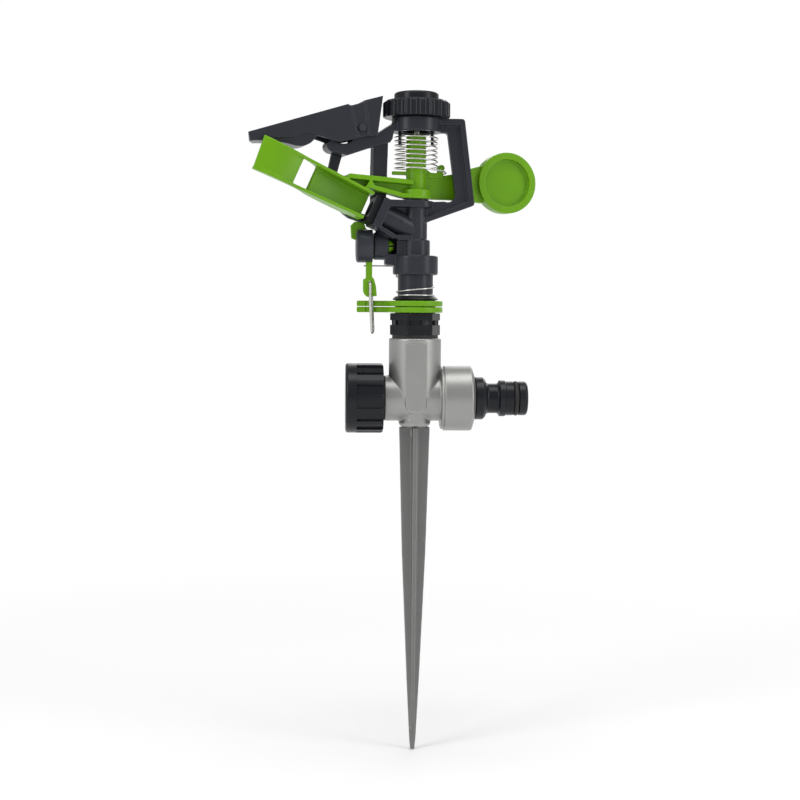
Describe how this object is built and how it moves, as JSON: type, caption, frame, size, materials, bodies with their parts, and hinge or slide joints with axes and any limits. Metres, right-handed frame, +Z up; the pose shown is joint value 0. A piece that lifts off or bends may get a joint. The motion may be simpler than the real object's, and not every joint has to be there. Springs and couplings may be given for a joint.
{
  "type": "impact sprinkler",
  "caption": "Impact sprinkler head with a sprung hammer arm, deflector flap and part-circle trip, on a cast hose tee with a quick-connect nipple and a cross-shaped ground spike.",
  "frame": {"origin": "on the riser axis at soil level, where the tee's underside meets the spike's blades", "axes": "+Z up the riser and spike, +X along the tee to the hose nipple, -X to the end cap; the nozzle points to -X, turned 14.5 degrees towards -Y"},
  "size_m": [0.1355, 0.0496, 0.3093],
  "materials": {
    "cast_alloy": "satin silver lacquer over a zinc casting, fine cast grain",
    "spike_alloy": "satin grey lacquer over a casting, slightly darker than the tee",
    "black_plastic": "black moulded plastic, semi-matt, fine grain",
    "grey_plastic": "dark blue-grey moulded plastic, semi-gloss",
    "green_plastic": "lime green moulded plastic, semi-gloss",
    "slip_plastic": "white low-friction plastic washer",
    "rubber": "black sealing rubber",
    "spring_steel": "bright drawn spring steel wire"
  },
  "bodies": {
    "base": {"tee_body": "cast_alloy", "ground_spike": "spike_alloy", "inlet_nipple": "black_plastic", "nipple_o_ring": "rubber", "nipple_gasket": "rubber", "bearing_nut": "black_plastic", "nut_gasket": "rubber", "flange_washer": "black_plastic", "thrust_washer_upper": "rubber"},
    "upper_stop": {"upper_collar": "green_plastic"},
    "lower_stop": {"lower_collar": "green_plastic"},
    "cap": {"end_cap": "black_plastic", "end_cap_washer": "rubber"},
    "head": {"head_frame": "grey_plastic", "bearing_stem": "grey_plastic", "thrust_washer_lower": "slip_plastic", "bearing_spring": "spring_steel", "nozzle_insert": "black_plastic", "nozzle_seal": "rubber", "arm_pivot_pin": "spring_steel", "arm_thrust_washer": "black_plastic", "flap_pin": "grey_plastic", "toggle_wire": "spring_steel", "torsion_spring": "spring_steel"},
    "hammer": {"hammer_arm": "green_plastic"},
    "knob": {"tension_knob": "black_plastic", "knob_cap": "black_plastic"},
    "flap": {"deflector_flap": "grey_plastic"},
    "trip": {"trip_lever": "green_plastic", "trip_drum": "grey_plastic"},
    "wire": {"trip_wire": "spring_steel"}
  },
  "joints": [
    {"name": "head_spin", "type": "hinge", "parent": "base", "child": "head", "pos_m": [0, 0, 0.0716], "axis": [0, 0, 1], "continuous": true},
    {"name": "hammer_swing", "type": "hinge", "parent": "head", "child": "hammer", "pos_m": [0, 0, 0.1216], "axis": [0, 0, 1], "range_deg": [0, 90], "stiffness_Nm_per_rad": 0.02, "springref_deg": -20.05, "deforming": ["torsion_spring"]},
    {"name": "knob_turn", "type": "hinge", "parent": "head", "child": "knob", "pos_m": [0, 0, 0.148], "axis": [0, 0, 1], "range_deg": [0, 160]},
    {"name": "flap_tilt", "type": "hinge", "parent": "head", "child": "flap", "pos_m": [-0.0273, -0.00706, 0.1382], "axis": [-0.2504, 0.9681, 0], "range_deg": [-6, 8]},
    {"name": "trip_flip", "type": "hinge", "parent": "head", "child": "trip", "pos_m": [-0.01998, -0.00087, 0.0847], "axis": [-0.999, -0.0436, 0], "range_deg": [0, 20]},
    {"name": "trip_wire_fold", "type": "hinge", "parent": "trip", "child": "wire", "pos_m": [-0.02138, -0.00093, 0.0676], "axis": [-0.0436, 0.999, 0], "range_deg": [0, 100]},
    {"name": "upper_collar_turn", "type": "hinge", "parent": "base", "child": "upper_stop", "pos_m": [0, 0, 0.058], "axis": [0, 0, 1], "continuous": true},
    {"name": "lower_collar_turn", "type": "hinge", "parent": "base", "child": "lower_stop", "pos_m": [0, 0, 0.0551], "axis": [0, 0, 1], "continuous": true},
    {"name": "end_cap_off", "type": "slide", "parent": "base", "child": "cap", "axis": [-1, 0, 0], "range_m": [0, 0.022]}
  ]
}
